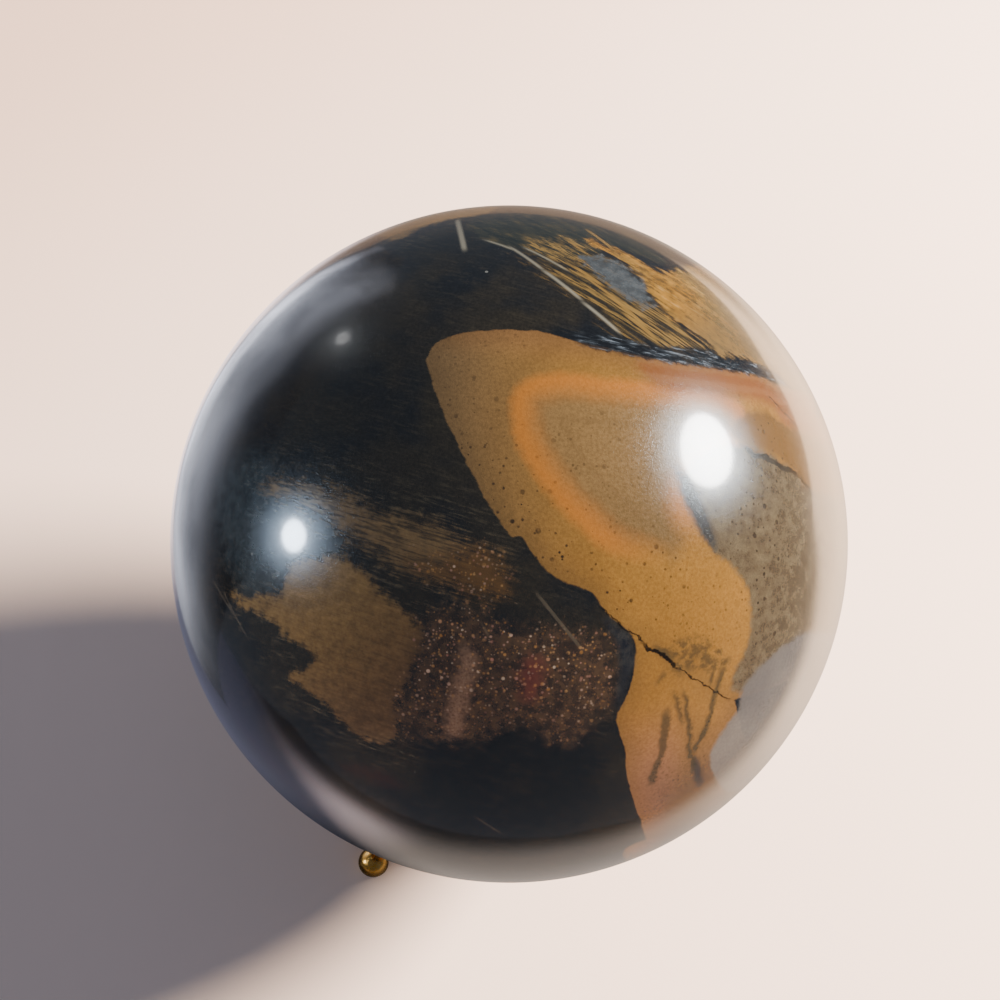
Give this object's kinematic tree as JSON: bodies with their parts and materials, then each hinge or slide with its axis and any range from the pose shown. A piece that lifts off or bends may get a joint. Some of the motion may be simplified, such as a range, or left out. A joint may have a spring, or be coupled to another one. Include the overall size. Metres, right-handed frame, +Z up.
{
  "type": "decorative stone sphere on stand",
  "caption": "Polished sphere of banded ochre, brown and black stone resting loose on a low brass ring stand with splayed legs and ball feet.",
  "frame": {"origin": "on the floor under the centre of the sphere, in the plane of the stand's feet", "axes": "+Z up through the sphere's centre and the ring's axis, +X to the right and -Y towards the viewer of the picture"},
  "size_m": [0.08, 0.08, 0.0888],
  "materials": {
    "stone": "high polish, banded and speckled ochre, red-brown, blue-grey and black",
    "brass": "cast and polished, slightly worn and darker in the corners"
  },
  "bodies": {
    "root": {"sphere": "stone", "stand": "brass"}
  },
  "joints": []
}
